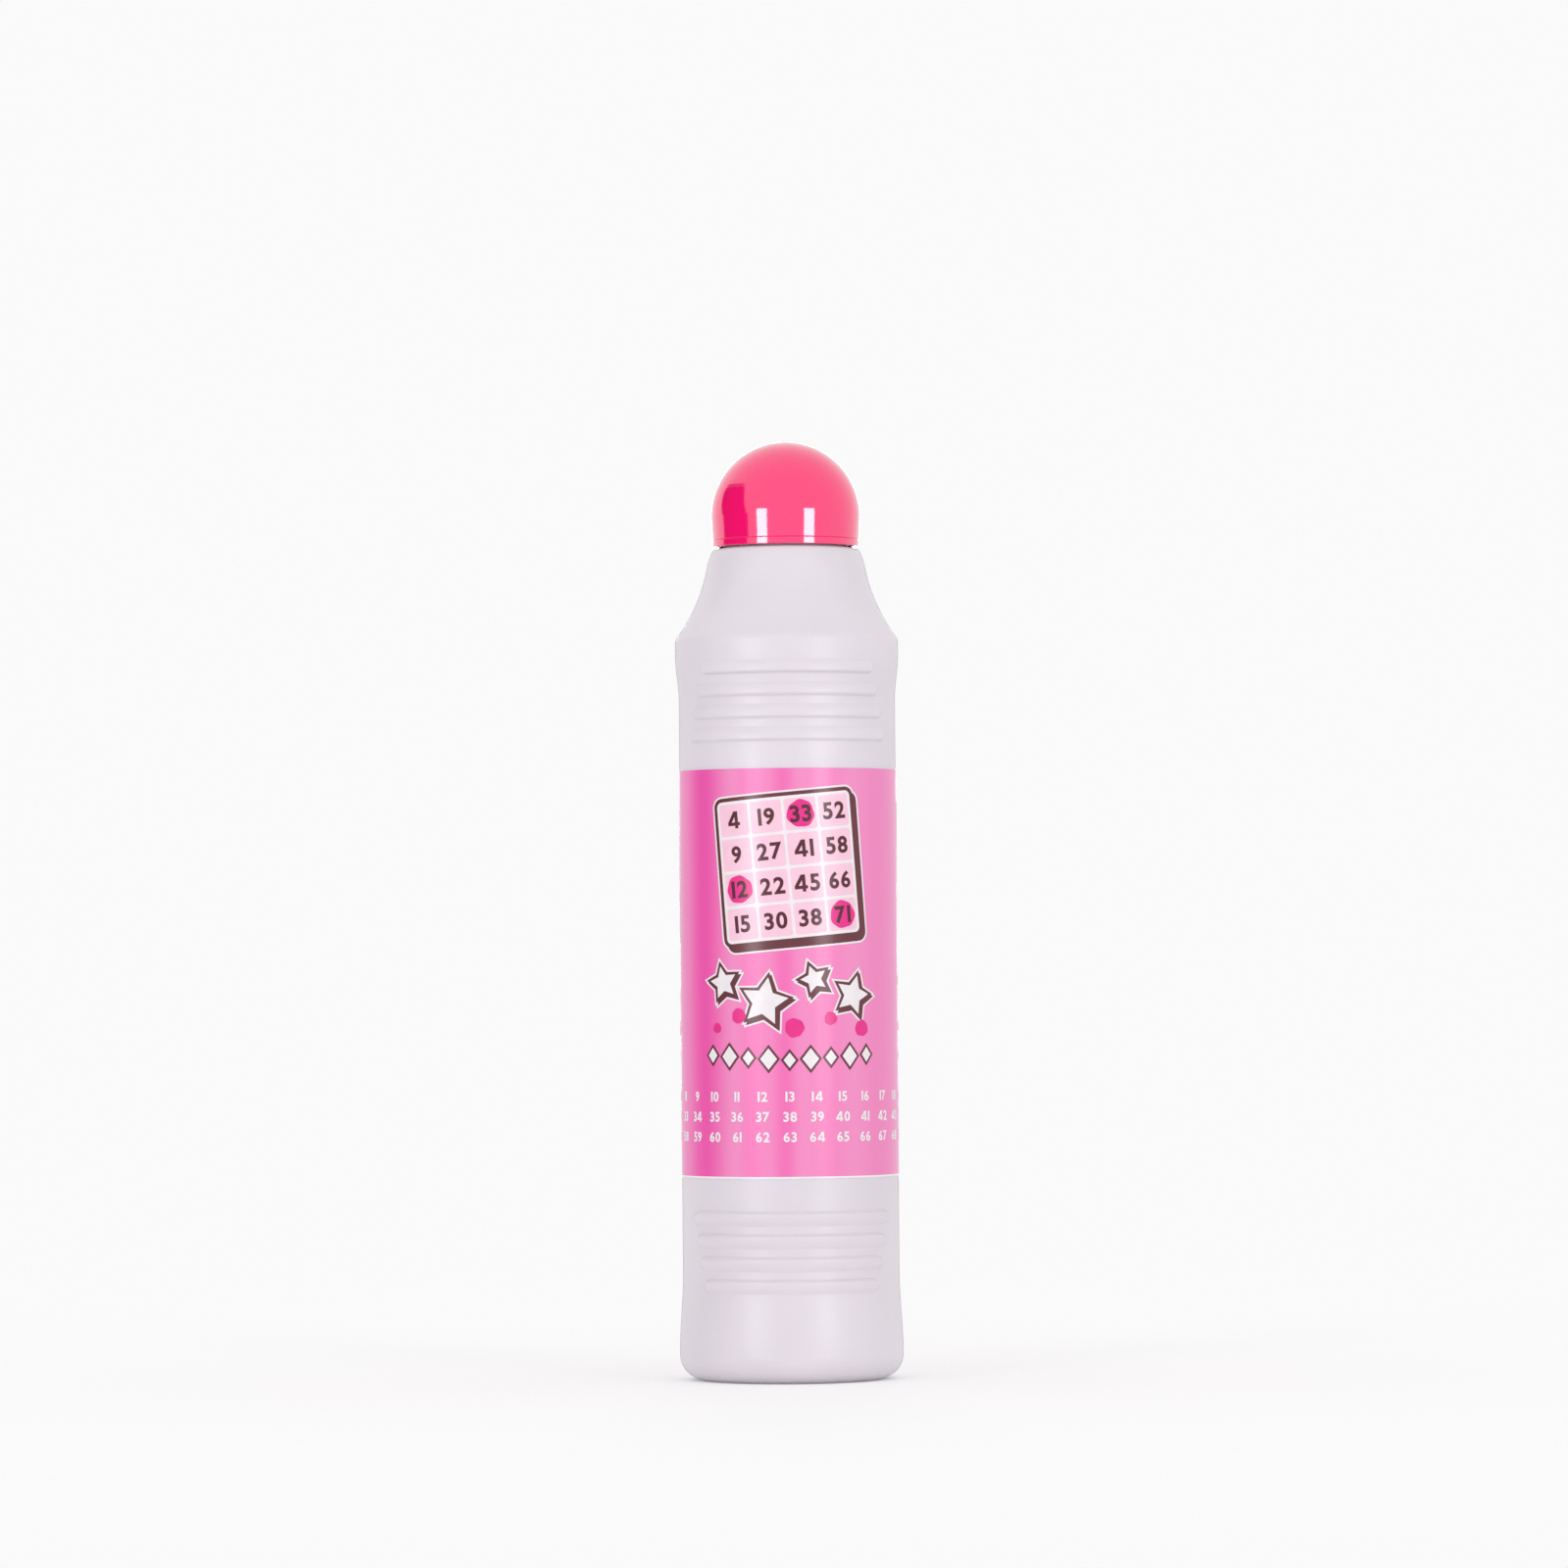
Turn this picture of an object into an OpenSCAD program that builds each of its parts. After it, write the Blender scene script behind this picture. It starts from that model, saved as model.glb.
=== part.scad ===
// Jumbo bingo dauber: a blown bottle with a valved foam tip under a domed screw cap.
// It stands on its foot with +Z up, and the origin is at the middle of the foot.

/* [Bottle] */
// Height from the foot to the top of the collar, under the cap
bottle_h = 166.6; // [155:0.1:185]
// Radius of the straight wall
body_r = 21.6; // [20:0.1:24]
// Wall of the blown bottle
wall = 1.1; // [0.8:0.1:1.3]
// How far the shoulder and the heel stand out past the straight wall
bumper = 0.7; // [0.5:0.1:1.2]
// Radius of the rounded heel
heel_r = 5; // [4:0.5:7]
// Straight height of the heel above its round
heel_straight = 0.5; // [0.5:0.5:3]
// Height over which the heel draws in to the straight wall
heel_ease = 16; // [8:0.5:18]
// Width of the flat ring that the bottle stands on
foot_w = 2; // [1:0.5:3.5]
// Depth of the pushed-up base inside the foot
push_up = 2.4; // [1.4:0.1:2.8]
// Width of the pinch line across the base
pinch_w = 0.6; // [0.4:0.1:1]
// Height of the pinch line
pinch_h = 0.4; // [0.2:0.1:0.6]
// Width of the mould's parting line down each side
seam_w = 0.4; // [0.2:0.05:0.6]
// Height of the parting line
seam_h = 0.08; // [0.04:0.01:0.12]

/* [Shoulder] */
// Radius of the round at the shoulder's widest place
shoulder_round = 2; // [1.5:0.5:4]
// Straight height of the shoulder below its round
shoulder_straight = 2.5; // [0.5:0.5:3]
// Height over which the shoulder draws in to the straight wall
shoulder_ease = 9; // [4:0.5:10]
// How far the collar's waist stands out past the cap
collar_step = 0.8; // [0.6:0.1:2]
// Radius of the collar's bowed side
collar_bow = 13.8; // [12:0.1:20]
// Round on the collar's top edge
collar_round = 1.3; // [1.3:0.1:1.8]

/* [Grip beads] */
// Beads in each group
bead_count = 4; // [2:1:5]
// Distance from one bead to the next
bead_pitch = 4.5; // [3.5:0.1:5]
// Width of a bead where it meets the wall
bead_w = 2.8; // [2.2:0.1:3.2]
// Width of a bead's steep flank, on the side of the label
bead_flank_w = 0.35; // [0.2:0.05:0.5]
// How far a bead stands out
bead_rise = 0.5; // [0.3:0.1:0.8]
// Height of the lowest bead of the lower group
bead_low_z = 19.2; // [18:0.1:22]
// Depth of the highest bead below the top of the collar
bead_drop = 24.3; // [23.5:0.1:27]
// Half angle of the longest bead, next to the label
bead_long = 64; // [50:1:75]
// Half angle of the shortest bead
bead_short = 53; // [40:1:60]

/* [Label] */
// Distance from the lower group of beads up to the label
label_low_gap = 8; // [3:0.1:12]
// Distance from the label up to the upper group of beads
label_high_gap = 6.9; // [3:0.1:12]
// Thickness of the label film
label_t = 0.15; // [0.1:0.01:0.25]
// Angle between the label's ends at the back
label_open = 3; // [1:1:10]

/* [Neck and thread] */
// Radius of the neck
neck_r = 12.2; // [11.5:0.1:13]
// Wall of the neck
neck_wall = 1.6; // [1.2:0.1:1.8]
// Rise of the thread in one turn
thread_pitch = 4.2; // [3.8:0.1:5]
// Turns of each thread
thread_turns = 1; // [0.8:0.1:1.2]
// Depth of the neck's thread
thread_depth = 1; // [0.8:0.1:1.2]
// Depth of the cap's thread
cap_thread_depth = 1; // [0.8:0.1:1.1]
// Width of a thread at its root
thread_root_w = 2.2; // [1.8:0.1:2.4]
// Width of a thread at its crest
thread_crest_w = 1; // [0.6:0.1:1.2]
// Land between the collar and the thread
thread_lift = 0.7; // [0.5:0.1:1.5]
// Land between the thread and the rim
rim_land = 0.2; // [0.2:0.1:1]

/* [Cap] */
// Wall of the cap
cap_wall = 1.5; // [1.2:0.1:1.8]
// Height of the dome's centre above the collar
cap_skirt_h = 6.5; // [5:0.1:8]
// How much smaller the skirt's radius is at its foot
cap_taper = 0.25; // [0:0.05:0.4]
// Height of the band at the skirt's foot
cap_band_h = 1.3; // [1:0.1:2]
// Depth of the fine groove above the band
cap_groove = 0.14; // [0.1:0.02:0.3]
// Wall of the tube that presses the liner on its seat
seal_wall = 1.2; // [0.8:0.1:1.4]
// Thickness of the liner
liner_t = 1; // [0.8:0.1:1.4]
// Height of the bead that keeps the liner in the cap
liner_bead_h = 0.7; // [0.5:0.1:0.8]

/* [Tip housing] */
// Thickness of the flange on the rim
flange_t = 1.4; // [1.2:0.1:2]
// Wall of the sleeve in the neck
sleeve_wall = 0.95; // [0.8:0.05:1.1]
// Thickness of the floor with the valve hole
floor_t = 1.4; // [1:0.1:2]
// Radius of the valve hole
hole_r = 3.2; // [2.8:0.1:3.6]
// How far the travel stop reaches in under the plunger
stop_reach = 0.75; // [0.5:0.05:1]

/* [Plunger and valve] */
// How far the tip presses in
press = 2; // [1.2:0.1:2.4]
// Depth of the plunger's disc below the rim
disc_drop = 1.5; // [1.2:0.1:2]
// Thickness of the plunger's disc
disc_t = 1.2; // [0.8:0.1:1.6]
// Height of the plunger's cup, with its disc
cup_h = 4.3; // [3.8:0.1:4.8]
// Wall of the cup
cup_wall = 0.75; // [0.5:0.05:1]
// Holes that let ink through the disc
ink_holes = 6; // [4:1:8]
// Radius of an ink hole
ink_hole_r = 0.7; // [0.5:0.1:0.8]
// Thickness of a fin of the stem
fin_t = 1.1; // [0.8:0.1:1.4]
// Radius of the pin that carries the washer and the poppet
pin_r = 1.5; // [1.2:0.1:1.7]
// Thickness of the washer
washer_t = 1; // [0.8:0.1:1.4]
// Radius of the washer
washer_r = 4.5; // [4:0.1:5]
// Thickness of the poppet's disc
poppet_t = 1.6; // [1.2:0.1:2]
// Radius of the poppet's disc
poppet_r = 4.8; // [4.4:0.1:5.2]
// Height of the poppet's boss
boss_h = 1.4; // [1:0.1:2]
// Radius of the poppet's boss
boss_r = 2.7; // [2.4:0.1:3]
// Height of the pin's snap head
snap_h = 1.2; // [0.8:0.1:1.6]
// How far the snap head stands out past the pin
snap_step = 0.4; // [0.2:0.1:0.6]

/* [Valve spring] */
// Length of the spring at rest
spring_l = 7.6; // [7:0.1:9]
// Radius of the spring at the middle of its wire
spring_r = 5; // [4.4:0.1:5.4]
// Diameter of the wire
wire_d = 0.7; // [0.5:0.05:0.8]
// Turns of the spring between its closed ends
spring_turns = 2.6; // [2:0.2:3]

/* [Foam tip] */
// Height of the tip above the flange
tip_rise = 5.7; // [5:0.1:6]
// Thickness of the woven cover
cover_t = 0.45; // [0.3:0.05:0.6]
// Thickness of the ring that clamps the cover
ring_t = 0.55; // [0.4:0.05:0.8]
// Height of the clamping ring
ring_h = 2; // [1.5:0.1:2.2]

/* [Hidden] */
$fn = 96;

// Clearances: the fit of a pin or a press fit, a sliding fit, a free gap and a hair's gap
fit_gap = 0.05;
run_gap = 0.1;
free_gap = 0.3;
film_gap = 0.02;
// Overrun of a cut past the face that it opens
over = 1;
// How deep a joined piece and a bead are sunk in what carries them
sink = 0.4;
bead_sink = 0.5;
// Steps on each round of an outline, and steps in a turn of a thread and of the spring
arc_steps = 10;
turn_steps = 30;
coil_steps = 18;
wire_sides = 8;

// Colours as shares of red, green and blue
bottle_shares = [0.89, 0.87, 0.9];
label_shares = [0.96, 0.5, 0.74];
cap_shares = [0.98, 0.2, 0.5];

// Tangent angles where the arcs of the shoulder meet
collar_angle = 24;
waist_angle = 11;
flare_angle = 36;
waist_run = cos(waist_angle) - cos(flare_angle);

// Heights up the neck, the housing and the tip
neck_h = thread_lift + thread_root_w + thread_pitch * thread_turns + rim_land;
rim_z = bottle_h + neck_h;
flange_z = rim_z + flange_t;
disc_z = rim_z - disc_drop;
floor_z = disc_z - spring_l;
seat_z = floor_z - floor_t;
stop_gap = run_gap;
stop_z = disc_z - press - stop_gap;
cup_rim_z = disc_z + cup_h;
tip_z = flange_z + tip_rise;

// Radii from the neck's bore in to the foam
bore_r = neck_r - neck_wall;
sleeve_r = bore_r - fit_gap;
well_r = sleeve_r - sleeve_wall;
flange_r = neck_r - (run_gap + run_gap);
ring_r = well_r - free_gap;
skirt_r = ring_r - ring_t;
cup_r = skirt_r - cover_t;
cup_in_r = cup_r - cup_wall;
stop_r = cup_r - stop_reach;
head_r = well_r - (free_gap + run_gap);
stem_r = hole_r - run_gap;
hole_ring_r = (cup_in_r + spring_r + wire_d / 2) / 2;

// The cap
cap_in_r = neck_r + thread_depth + free_gap;
cap_r = cap_in_r + cap_wall;
cap_z = bottle_h + free_gap;
dome_z = bottle_h + cap_skirt_h;
liner_z = flange_z + liner_t;
liner_play = run_gap + run_gap;
liner_in_r = head_r + 3 * free_gap;
liner_r = dome_in_r(liner_z) - free_gap;
liner_bead_r = flange_r + free_gap;
seal_in_r = liner_in_r + free_gap + run_gap;
band_z = cap_z + cap_band_h;
band_r = cap_r - cap_taper;

// The collar and the shoulder, from the top edge down
collar_r = cap_r + collar_step;
wide_r = body_r + bumper;
flare_r = (wide_r - collar_r - shoulder_round * (1 - cos(flare_angle))) / waist_run;
bow_x = collar_r - collar_bow * cos(waist_angle);
edge_x = bow_x + (collar_bow - collar_round) * cos(collar_angle);
edge_z = bottle_h - collar_round;
bow_z = edge_z - (collar_bow - collar_round) * sin(collar_angle);
flare_x = bow_x + (collar_bow + flare_r) * cos(waist_angle);
flare_z = bow_z + (collar_bow + flare_r) * sin(waist_angle);
round_x = wide_r - shoulder_round;
round_z = flare_z - (flare_r + shoulder_round) * sin(flare_angle);
ease_top_z = round_z - shoulder_straight;
ease_z = ease_top_z - shoulder_ease;

// The heel and the base
heel_x = wide_r - heel_r;
foot_r = heel_x - foot_w;
push_r = (foot_r * foot_r + push_up * push_up) / (2 * push_up);
push_z = push_up - push_r;
heel_top_z = heel_r + heel_straight;
pinch_share = 0.7;

// The groups of beads, and the label between them
bead_group_h = bead_pitch * (bead_count - 1);
low_beads_z = bead_low_z + bead_group_h;
high_beads_z = bottle_h - bead_drop - bead_group_h;
label_z = low_beads_z + label_low_gap;
label_top_z = high_beads_z - label_high_gap;
label_h = label_top_z - label_z;

// The parting line's half angle and the height that it starts at on the heel
seam_angle = asin(seam_w / 2 / body_r);
seam_share = 0.1;
outline_turn = 14;

// A grip bead's section: a steep flank, then a crown that falls away to the wall in one arc
bead_crown_w = bead_w - bead_flank_w - bead_flank_w;
bead_crown_r = (bead_crown_w * bead_crown_w + bead_rise * bead_rise) / (2 * bead_rise);
bead_crown_angle = asin(bead_crown_w / bead_crown_r);

// The threads: heights of their middle lines and the flank clearance between them
thread_z = bottle_h + thread_lift + thread_root_w / 2;
flank_gap = (run_gap + fit_gap);
flank = (thread_root_w + thread_crest_w) / 2 + flank_gap;
cap_thread_z = cap_z + run_gap + thread_root_w / 2;
cap_thread_turn = 360 * (cap_thread_z - thread_z + flank) / thread_pitch;
// Angle over which a thread runs out at each end, and how much of it is left there in the wall
run_out = 48;
buried_share = 0.15;

// The spring's closed ends and how its pitch is shared
end_turns = 1;
end_gap = run_gap + fit_gap;
end_rise = (wire_d + end_gap) * end_turns;
coil_rise = spring_l - wire_d - fit_gap - film_gap;

// Points of an arc about a centre, from one angle to another
function arc(c, r, a, b, n = arc_steps) =
    [for (i = [0:n]) let (t = a + (b - a) * i / n) [c[0] + r * cos(t), c[1] + r * sin(t)]];

// A smooth draw-in of an outline between two radii
function ease(r_a, z_a, r_b, z_b, n = arc_steps) =
    [for (i = [0:n]) [r_a + (r_b - r_a) * swell(i / n), z_a + (z_b - z_a) * i / n]];

// A smooth step from 0 to 1
function swell(u) = (1 - cos(180 * min(max(u, 0), 1))) / 2;

// Outer radius of the wall at a height, with its draw-ins at the heel and at the shoulder
function skin_r(z) = body_r + bumper * (
    swell((z - ease_z) / shoulder_ease) + swell((heel_top_z + heel_ease - z) / heel_ease)
);

// Inner radius of the cap at a height
function dome_in_r(z) = sqrt(pow(cap_in_r, 2) - pow(max(z - dome_z, 0), 2));

// Half outline of the bottle below the neck, drawn in by t on every side
function bottle_outline(t) = concat(
    arc([0, push_z], push_r + t, 90, asin((t - push_z) / (push_r + t))),
    arc([heel_x, heel_r], heel_r - t, -90, 0),
    ease(wide_r - t, heel_top_z, body_r - t, heel_top_z + heel_ease),
    ease(body_r - t, ease_z, wide_r - t, ease_top_z),
    arc([round_x, round_z], shoulder_round - t, 0, flare_angle),
    arc([flare_x, flare_z], flare_r + t, 180 + flare_angle, 180 + waist_angle),
    arc([bow_x, bow_z], collar_bow - t, waist_angle, collar_angle),
    arc([edge_x, edge_z], collar_round - t, collar_angle, 90),
    [[0, bottle_h - t]]
);

// Half outline of the foam head under a skin of thickness t, from its waist up to its crown
function head_outline(t) = concat(
    [[skirt_r - t, cup_rim_z], [head_r - t, head_side_z]],
    [for (i = [1:arc_steps]) let (a = 90 * i / arc_steps)
        [(head_r - t) * pow(cos(a), bun_share),
        head_side_z + (tip_z - head_side_z - t) * pow(sin(a), bun_share)]]
);
bun_share = 0.72;
head_side_z = cup_rim_z + (free_gap + free_gap + run_gap);

// Triangles of a tube of n rings with m points each
function tube_faces(n, m) = concat(
    [for (j = [1:m - 2]) [0, j + 1, j]],
    [for (i = [0:n - 2], j = [0:m - 1]) [i * m + j, (i + 1) * m + (j + 1) % m, (i + 1) * m + j]],
    [for (i = [0:n - 2], j = [0:m - 1]) [i * m + j, i * m + (j + 1) % m, (i + 1) * m + (j + 1) % m]],
    [for (j = [1:m - 2]) [(n - 1) * m, (n - 1) * m + j, (n - 1) * m + j + 1]]
);

// How far a thread stands out at a turning angle, from its buried ends to 1
function thread_share(a, whole) =
    buried_share + (1 - buried_share) * swell(min(a, whole - a) / run_out);

// A thread that starts at an angle and a height, from a buried root radius to a crest radius
module thread(root_r, crest_r, start, z) {
    whole = 360 * thread_turns;
    n = ceil(turn_steps * thread_turns);
    side = crest_r > root_r ? 1 : -1;
    points = [for (i = [0:n]) let (
            a = whole * i / n,
            tip_r = root_r + (crest_r - root_r) * thread_share(a, whole),
            mid = z + thread_pitch * a / 360
        ) each [for (p = [
                [root_r, -thread_root_w], [tip_r, -thread_crest_w],
                [tip_r, thread_crest_w], [root_r, thread_root_w],
            ]) [p[0] * cos(start + a), p[0] * sin(start + a), mid + side * p[1] / 2]]];
    polyhedron(points, tube_faces(n + 1, 4));
}

// One raised bead with round ends, centred on the front, with its steep flank on the given side
module bead(z, half_angle, side) {
    skin = skin_r(z);
    half_l = body_r * sin(half_angle) - bead_w / 2;
    crest = skin + bead_rise;
    end_r = bead_w / 2 + film_gap;
    flank_z = side * (bead_w / 2 - bead_flank_w);
    crown = [for (p = arc([crest - bead_crown_r, 0], bead_crown_r, 0, bead_crown_angle))
        [p[0], flank_z - side * (bead_flank_w + p[1])]];
    translate([0, 0, z])
        intersection() {
            rotate_extrude()
                polygon(concat(
                    [[skin - bead_sink, side * bead_w / 2], [skin, side * bead_w / 2], [crest, flank_z]],
                    crown,
                    [[skin - bead_sink, -side * bead_w / 2]]
                ));
            rotate([90, 0, 0])
                linear_extrude(height = skin + over) {
                    square([2 * half_l, 2 * end_r], center = true);
                    for (end = [-half_l, half_l])
                        translate([end, 0])
                            circle(end_r);
                }
        }
}

// The two groups of beads on one side of the bottle
module beads() {
    for (i = [0:bead_count - 1]) {
        share = bead_count > 1 ? i / (bead_count - 1) : 0;
        length = bead_long + (bead_short - bead_long) * share;
        bead(high_beads_z + bead_pitch * i, length, -1);
        bead(low_beads_z - bead_pitch * i, length, 1);
    }
}

// The fine ridge of one parting line, above and below the label
module parting_line() {
    seam_z = seam_share * heel_r;
    intersection() {
        rotate([0, 0, -seam_angle])
            rotate_extrude(angle = 2 * seam_angle)
                polygon(bottle_outline(-seam_h));
        union() {
            translate([0, 0, seam_z])
                cylinder(r = wide_r + over, h = label_z - free_gap - seam_z);
            translate([0, 0, label_top_z + free_gap])
                cylinder(r = wide_r + over, h = bottle_h - label_top_z);
        }
    }
}

// The ridge that the closing mould leaves across the pushed-up base
module pinch_line() {
    end_angle = acos(pinch_share * foot_r / push_r);
    intersection() {
        rotate_extrude()
            polygon(concat(
                arc([0, push_z], push_r + wall / 2, 90, end_angle),
                arc([0, push_z], push_r - pinch_h, end_angle, 90)
            ));
        cube([2 * foot_r, pinch_w, 2 * push_up + wall], center = true);
    }
}

// The round form of the bottle, drawn in by t, with its outline started clear of what crosses it
module blown_form(t) {
    rotate([0, 0, outline_turn])
        rotate_extrude()
            polygon(bottle_outline(t));
}

module bottle() {
    color(bottle_shares)
        difference() {
            union() {
                blown_form(0);
                translate([0, 0, bottle_h - wall])
                    cylinder(r = neck_r, h = neck_h + wall);
                thread(neck_r - sink, neck_r + thread_depth, 0, thread_z);
                for (turn = [0, 180])
                    rotate([0, 0, turn]) {
                        beads();
                        parting_line();
                    }
                pinch_line();
            }
            blown_form(wall);
            translate([0, 0, bottle_h - wall - over])
                cylinder(r = bore_r, h = neck_h + wall + over + over);
        }
}

module label() {
    color(label_shares)
        rotate([0, 0, 90 + label_open / 2])
            rotate_extrude(angle = 360 - label_open)
                translate([body_r + film_gap, label_z])
                    square([label_t, label_h]);
}

module tip_housing() {
    snap_z = bottle_h - wall - run_gap;
    color("gainsboro")
        difference() {
            rotate_extrude()
                polygon([
                    [0, seat_z], [sleeve_r - fit_gap, seat_z], [sleeve_r, seat_z + free_gap],
                    [sleeve_r, snap_z - free_gap - free_gap], [bore_r + run_gap + run_gap, snap_z - free_gap],
                    [sleeve_r, snap_z], [sleeve_r, rim_z], [flange_r, rim_z],
                    [flange_r, flange_z - free_gap], [flange_r - free_gap, flange_z], [0, flange_z],
                ]);
            translate([0, 0, seat_z - over])
                cylinder(r = hole_r, h = floor_t + over + over);
            translate([0, 0, floor_z])
                cylinder(r = stop_r, h = flange_z - floor_z + over);
            translate([0, 0, stop_z])
                cylinder(r = well_r, h = flange_z - stop_z + over);
        }
}

// Height of the spring's wire at a share of its turns: closed ends and an open middle
function coil_z(u, turns) = let (at = u * turns, last = turns - end_turns)
    at < end_turns ? end_rise * at / end_turns
    : at > last ? coil_rise - end_rise * (turns - at) / end_turns
    : end_rise + (coil_rise - 2 * end_rise) * (at - end_turns) / (turns - 2 * end_turns);

module valve_spring() {
    turns = spring_turns + 2 * end_turns;
    n = ceil(coil_steps * turns);
    points = [for (i = [0:n]) let (
            a = 360 * turns * i / n,
            z = floor_z + film_gap + wire_d / 2 + coil_z(i / n, turns)
        ) each [for (j = [0:wire_sides - 1]) let (
                b = 360 * (j + 1 / 2) / wire_sides,
                r = spring_r + wire_d / 2 * cos(b)
            ) [r * cos(a), r * sin(a), z + wire_d / 2 * sin(b)]]];
    color("silver")
        polyhedron(points, tube_faces(n + 1, wire_sides));
}

module valve_stem() {
    pin_l = washer_t + poppet_t + boss_h;
    color("white") {
        difference() {
            translate([0, 0, disc_z])
                cylinder(r = cup_r, h = cup_h);
            translate([0, 0, disc_z + disc_t])
                cylinder(r = cup_in_r, h = cup_h);
            for (i = [0:ink_holes - 1])
                rotate([0, 0, 360 * i / ink_holes])
                    translate([hole_ring_r, 0, disc_z - over])
                        cylinder(r = ink_hole_r, h = disc_t + over + over);
        }
        intersection() {
            translate([0, 0, seat_z])
                cylinder(r = stem_r, h = disc_z - seat_z + disc_t / 2);
            union()
                for (turn = [0, 90])
                    rotate([0, 0, turn])
                        translate([-hole_r, -fin_t / 2, seat_z])
                            cube([2 * hole_r, fin_t, disc_z - seat_z + disc_t / 2]);
        }
        translate([0, 0, seat_z - pin_l - fit_gap])
            cylinder(r = pin_r, h = pin_l + fit_gap + sink);
        translate([0, 0, seat_z - pin_l - fit_gap - snap_h])
            cylinder(r1 = pin_r - snap_step, r2 = pin_r + snap_step, h = snap_h);
    }
}

module valve_washer() {
    color("dimgray")
        translate([0, 0, seat_z - washer_t])
            difference() {
                cylinder(r = washer_r, h = washer_t);
                translate([0, 0, -over])
                    cylinder(r = pin_r + fit_gap, h = washer_t + over + over);
            }
}

module valve_poppet() {
    disc_low_z = seat_z - washer_t - poppet_t;
    color("gainsboro")
        difference() {
            union() {
                translate([0, 0, disc_low_z])
                    cylinder(r = poppet_r, h = poppet_t);
                translate([0, 0, disc_low_z - boss_h])
                    cylinder(r = boss_r, h = boss_h + sink);
            }
            translate([0, 0, disc_low_z - boss_h - over])
                cylinder(r = pin_r + fit_gap, h = boss_h + poppet_t + over + over);
        }
}

module foam_tip() {
    color(cap_shares)
        rotate_extrude()
            polygon(concat(
                [[0, disc_z + disc_t], [cup_in_r - fit_gap, disc_z + disc_t]],
                [[cup_in_r - fit_gap, cup_rim_z + film_gap], [cup_r - fit_gap, cup_rim_z + film_gap]],
                [for (p = head_outline(cover_t + fit_gap)) if (p[1] > cup_rim_z) p]
            ));
}

module tip_cover() {
    skin = head_outline(0);
    under = head_outline(cover_t);
    last = len(under) - 1;
    color(label_shares)
        rotate_extrude()
            polygon(concat(
                [[cup_r, cup_rim_z - ring_h - free_gap], [skirt_r, cup_rim_z - ring_h - free_gap]],
                skin,
                [for (i = [0:last]) under[last - i]]
            ));
}

module tip_ring() {
    color("white")
        translate([0, 0, cup_rim_z - ring_h - run_gap])
            difference() {
                cylinder(r = ring_r, h = ring_h);
                translate([0, 0, -over])
                    cylinder(r = skirt_r, h = ring_h + over + over);
            }
}

module cap_liner() {
    color("white")
        translate([0, 0, flange_z])
            difference() {
                cylinder(r = liner_r, h = liner_t);
                translate([0, 0, -over])
                    cylinder(r = liner_in_r, h = liner_t + over + over);
            }
}

// Half outline of the cap's outer skin, with the fine groove above its band
function cap_outline() = concat(
    [[0, cap_z], [band_r - run_gap, cap_z], [band_r, cap_z + run_gap], [band_r, band_z]],
    [[band_r - cap_groove, band_z + run_gap], [band_r, band_z + run_gap + run_gap]],
    arc([0, dome_z], cap_r, 0, 90, 3 * arc_steps)
);

module cap() {
    seal_top_z = dome_z + cap_in_r;
    color(cap_shares)
        union() {
            difference() {
                rotate_extrude()
                    polygon(cap_outline());
                difference() {
                    union() {
                        translate([0, 0, cap_z - over])
                            cylinder(r = cap_in_r, h = dome_z - cap_z + over);
                        translate([0, 0, dome_z])
                            sphere(cap_in_r);
                    }
                    translate([0, 0, liner_z])
                        difference() {
                            cylinder(r = seal_in_r + seal_wall, h = seal_top_z - liner_z);
                            translate([0, 0, -over])
                                cylinder(r = seal_in_r, h = seal_top_z - liner_z + over + over);
                        }
                }
            }
            thread(cap_in_r + sink, cap_in_r - cap_thread_depth, cap_thread_turn, cap_thread_z);
            translate([0, 0, flange_z - liner_play - liner_bead_h])
                rotate_extrude()
                    polygon([
                        [cap_in_r + sink, 0], [liner_bead_r, liner_bead_h / 2],
                        [liner_bead_r, liner_bead_h], [cap_in_r + sink, liner_bead_h],
                    ]);
        }
}

bottle();
label();
tip_housing();
valve_spring();
valve_stem();
valve_washer();
valve_poppet();
foam_tip();
tip_cover();
tip_ring();
cap_liner();
cap();
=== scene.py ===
import math

import bmesh
import bpy
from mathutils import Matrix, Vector


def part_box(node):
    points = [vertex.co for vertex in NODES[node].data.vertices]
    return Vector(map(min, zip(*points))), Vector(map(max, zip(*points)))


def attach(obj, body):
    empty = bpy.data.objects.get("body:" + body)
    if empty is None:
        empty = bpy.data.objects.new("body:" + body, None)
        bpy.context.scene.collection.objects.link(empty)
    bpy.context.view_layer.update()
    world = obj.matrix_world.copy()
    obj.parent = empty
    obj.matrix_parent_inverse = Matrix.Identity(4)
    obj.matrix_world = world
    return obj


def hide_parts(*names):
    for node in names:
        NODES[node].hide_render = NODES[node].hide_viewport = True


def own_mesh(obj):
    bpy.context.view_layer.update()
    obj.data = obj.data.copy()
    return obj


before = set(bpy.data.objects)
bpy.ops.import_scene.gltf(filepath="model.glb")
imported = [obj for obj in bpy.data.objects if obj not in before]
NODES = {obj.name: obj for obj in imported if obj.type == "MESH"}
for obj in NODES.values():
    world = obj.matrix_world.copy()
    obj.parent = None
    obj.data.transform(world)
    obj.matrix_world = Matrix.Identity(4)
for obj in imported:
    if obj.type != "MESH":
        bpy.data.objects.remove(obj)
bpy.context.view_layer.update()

MM = 0.001

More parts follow.
